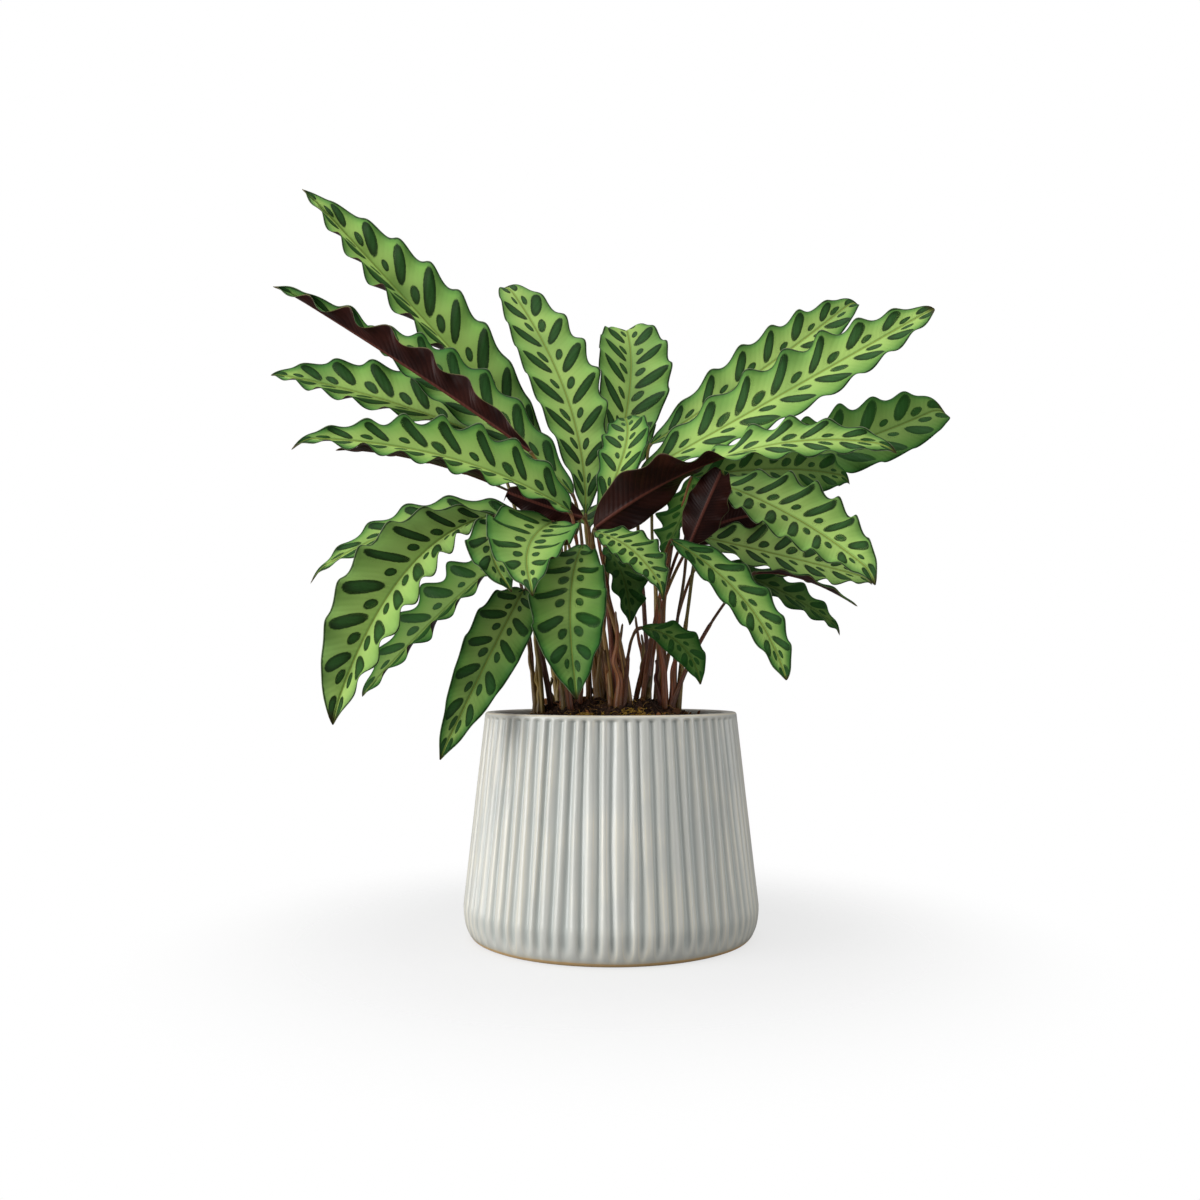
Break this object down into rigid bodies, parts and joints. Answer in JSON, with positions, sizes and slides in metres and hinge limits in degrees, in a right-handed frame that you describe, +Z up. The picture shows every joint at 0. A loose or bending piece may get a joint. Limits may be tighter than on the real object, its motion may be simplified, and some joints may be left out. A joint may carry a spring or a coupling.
{
  "type": "potted calathea",
  "caption": "Leafy house plant with long, wavy, spotted leaves on slim stalks, standing in soil in a ribbed, glazed, tapered pot.",
  "frame": {"origin": "middle of the pot's foot, on the surface it stands on", "axes": "+Z up, -Y the front that the picture shows, +X to the right of that front"},
  "size_m": [0.4797, 0.301, 0.5033],
  "materials": {
    "glazed_pot": "gloss",
    "potting_soil": "matte",
    "stem": "satin",
    "leaf_blade": "satin"
  },
  "bodies": {
    "root": {"pot": "glazed_pot", "soil": "potting_soil", "shoot_left": "stem", "shoot_left_back": "stem", "shoot_left_front": "stem", "shoot_centre": "stem", "shoot_back": "stem", "shoot_front": "stem", "shoot_right": "stem", "shoot_right_front": "stem", "shoot_right_back": "stem", "leaf_01": "leaf_blade", "leaf_02": "leaf_blade", "leaf_03": "leaf_blade", "leaf_04": "leaf_blade", "leaf_05": "leaf_blade", "leaf_06": "leaf_blade", "leaf_07": "leaf_blade", "leaf_08": "leaf_blade", "leaf_09": "leaf_blade", "leaf_10": "leaf_blade", "leaf_11": "leaf_blade", "leaf_12": "leaf_blade", "leaf_13": "leaf_blade", "leaf_14": "leaf_blade", "leaf_15": "leaf_blade", "leaf_16": "leaf_blade", "leaf_17": "leaf_blade", "leaf_18": "leaf_blade", "leaf_19": "leaf_blade", "leaf_20": "leaf_blade", "leaf_21": "leaf_blade", "leaf_22": "leaf_blade", "leaf_23": "leaf_blade", "leaf_24": "leaf_blade", "leaf_25": "leaf_blade", "leaf_26": "leaf_blade", "leaf_27": "leaf_blade", "leaf_28": "leaf_blade", "leaf_29": "leaf_blade", "leaf_30": "leaf_blade", "leaf_31": "leaf_blade", "leaf_32": "leaf_blade", "leaf_33": "leaf_blade", "leaf_34": "leaf_blade", "leaf_35": "leaf_blade", "leaf_36": "leaf_blade"}
  },
  "joints": []
}
